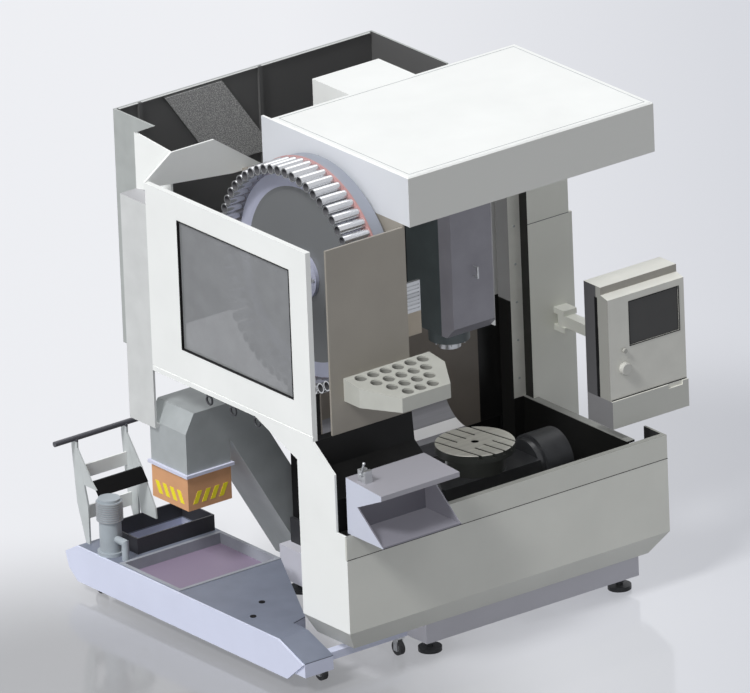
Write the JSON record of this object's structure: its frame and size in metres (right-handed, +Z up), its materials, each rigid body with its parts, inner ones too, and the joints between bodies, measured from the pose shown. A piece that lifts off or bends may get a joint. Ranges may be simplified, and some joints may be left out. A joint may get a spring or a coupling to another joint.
{
  "type": "five-axis machining centre",
  "caption": "Five-axis milling machine with tilting rotary table, moving spindle head, drum tool magazine, canopy, chip conveyor, roll-out coolant tank and swing-arm pendant.",
  "frame": {"origin": "on the floor under the middle of the whole machine's bounding box", "axes": "+X to the right along the front, +Y to the back, +Z up"},
  "size_m": [2.491, 2.324, 2.516],
  "materials": {
    "white_paint": "satin",
    "grey_paint": "satin",
    "tan_paint": "matte",
    "dark_paint": "satin",
    "brown_sheet": "matte",
    "lavender_paint": "satin",
    "cast_paint": "painted",
    "blue_grey_paint": "satin",
    "bare_steel": "ground",
    "wheel_paint": "satin",
    "red_paint": "satin",
    "orange_paint": "satin",
    "pink_sheet": "matte",
    "pump_paint": "satin",
    "handle_paint": "satin",
    "window_glass": "clear",
    "screen_glass": "gloss",
    "knob_plastic": "matte",
    "button_plastic": "gloss",
    "caster_rubber": "matte"
  },
  "bodies": {
    "machine": {"front_skirt": "white_paint", "left_side_panel": "white_paint", "magazine_side_frame": "white_paint", "bridge_plate": "white_paint", "canopy": "white_paint", "drive_box": "white_paint", "upper_left_wall": "white_paint", "lower_left_cover": "white_paint", "pillar_upper_cover": "white_paint", "front_apron": "grey_paint", "pillar_lower_cover": "grey_paint", "tool_rack": "grey_paint", "changer_unit": "grey_paint", "magazine_front_wall": "tan_paint", "sloped_front_cover": "dark_paint", "rear_cabinet": "brown_sheet", "base_frame": "lavender_paint", "front_tray": "lavender_paint", "machine_bed": "lavender_paint", "portal_column": "cast_paint", "left_trunnion_housing": "cast_paint", "right_trunnion_housing": "cast_paint", "magazine_carrier": "cast_paint", "guide_column": "cast_paint", "x_rails": "bare_steel", "changer_panel": "bare_steel", "tray_clamp": "bare_steel", "levelling_feet": "bare_steel", "chip_ramp": "bare_steel", "rear_splash_wall": "bare_steel", "right_inner_wall": "bare_steel", "conveyor_duct": "bare_steel", "outlet_skirt": "orange_paint", "magazine_window": "window_glass"},
    "x_carriage": {"x_saddle": "cast_paint"},
    "ram": {"y_ram": "cast_paint"},
    "head": {"spindle_head": "cast_paint", "head_cover": "blue_grey_paint"},
    "spindle": {"spindle": "bare_steel"},
    "tilting_cradle": {"cradle": "cast_paint"},
    "table": {"rotary_table": "bare_steel"},
    "magazine": {"magazine_wheel": "wheel_paint", "magazine_ring": "red_paint", "tool_pockets": "bare_steel"},
    "lever": {"clamp_lever": "bare_steel"},
    "boom": {"pendant_boom": "grey_paint"},
    "pendant": {"pendant_box": "white_paint", "pendant_screen": "screen_glass"},
    "knob": {"pendant_knob": "knob_plastic"},
    "button": {"pendant_button": "button_plastic"},
    "tank": {"coolant_tank": "lavender_paint", "tank_cover": "grey_paint", "strainer_tray": "pink_sheet", "coolant_pump": "pump_paint", "tank_handle": "handle_paint", "caster_forks": "bare_steel"},
    "caster_front_left": {"caster_wheel_front_left": "caster_rubber"},
    "caster_front_right": {"caster_wheel_front_right": "caster_rubber"},
    "caster_rear_left": {"caster_wheel_rear_left": "caster_rubber"},
    "caster_rear_right": {"caster_wheel_rear_right": "caster_rubber"}
  },
  "joints": [
    {"name": "x_axis", "type": "slide", "parent": "machine", "child": "x_carriage", "axis": [1, 0, 0], "range_m": [-0.22, 0.22]},
    {"name": "y_axis", "type": "slide", "parent": "x_carriage", "child": "ram", "axis": [0, 1, 0], "range_m": [-0.1, 0.2]},
    {"name": "z_axis", "type": "slide", "parent": "ram", "child": "head", "axis": [0, 0, 1], "range_m": [-0.35, 0]},
    {"name": "spindle_turn", "type": "hinge", "parent": "head", "child": "spindle", "pos_m": [0.1605, -0.299, 1.402], "axis": [0, 0, 1], "continuous": true},
    {"name": "a_axis", "type": "hinge", "parent": "machine", "child": "tilting_cradle", "pos_m": [0.1605, -0.477, 0.69], "axis": [1, 0, 0], "range_deg": [-110, 110]},
    {"name": "c_axis", "type": "hinge", "parent": "tilting_cradle", "child": "table", "pos_m": [0.1605, -0.477, 0.76], "axis": [0, 0, 1], "continuous": true},
    {"name": "magazine_turn", "type": "hinge", "parent": "machine", "child": "magazine", "pos_m": [-0.4795, -0.061, 1.854], "axis": [1, 0, 0], "continuous": true},
    {"name": "clamp_swing", "type": "hinge", "parent": "machine", "child": "lever", "pos_m": [-0.9198, -0.973, 1.16083], "axis": [1, 0, 0], "range_deg": [-60, 60]},
    {"name": "pendant_swing", "type": "hinge", "parent": "machine", "child": "boom", "pos_m": [1.0205, -0.123, 1.22], "axis": [0, 0, 1], "range_deg": [-10, 45]},
    {"name": "pendant_swivel", "type": "hinge", "parent": "boom", "child": "pendant", "pos_m": [1.0205, -0.573, 1.22], "axis": [0, 0, 1], "range_deg": [-30, 30]},
    {"name": "knob_turn", "type": "hinge", "parent": "pendant", "child": "knob", "pos_m": [0.8585, -0.803, 1.196], "axis": [0, 1, 0], "continuous": true},
    {"name": "button_press", "type": "slide", "parent": "pendant", "child": "button", "axis": [0, 1, 0], "range_m": [0, 0.004], "stiffness_N_per_m": 500},
    {"name": "tank_roll", "type": "slide", "parent": "machine", "child": "tank", "axis": [0, 1, 0], "range_m": [0, 0.5]},
    {"name": "caster_front_left_spin", "type": "hinge", "parent": "tank", "child": "caster_front_left", "pos_m": [-0.9795, -0.667, 0.039], "axis": [1, 0, 0], "continuous": true},
    {"name": "caster_front_right_spin", "type": "hinge", "parent": "tank", "child": "caster_front_right", "pos_m": [-0.5015, -0.667, 0.039], "axis": [1, 0, 0], "continuous": true},
    {"name": "caster_rear_left_spin", "type": "hinge", "parent": "tank", "child": "caster_rear_left", "pos_m": [-1.0995, 0.983, 0.039], "axis": [1, 0, 0], "continuous": true},
    {"name": "caster_rear_right_spin", "type": "hinge", "parent": "tank", "child": "caster_rear_right", "pos_m": [-0.5995, 0.983, 0.039], "axis": [1, 0, 0], "continuous": true}
  ],
  "couplings": [
    {"joint": "caster_front_left_spin", "follows": "tank_roll", "rad_per_m": -25.641},
    {"joint": "caster_front_right_spin", "follows": "tank_roll", "rad_per_m": -25.641},
    {"joint": "caster_rear_left_spin", "follows": "tank_roll", "rad_per_m": -25.641},
    {"joint": "caster_rear_right_spin", "follows": "tank_roll", "rad_per_m": -25.641}
  ]
}
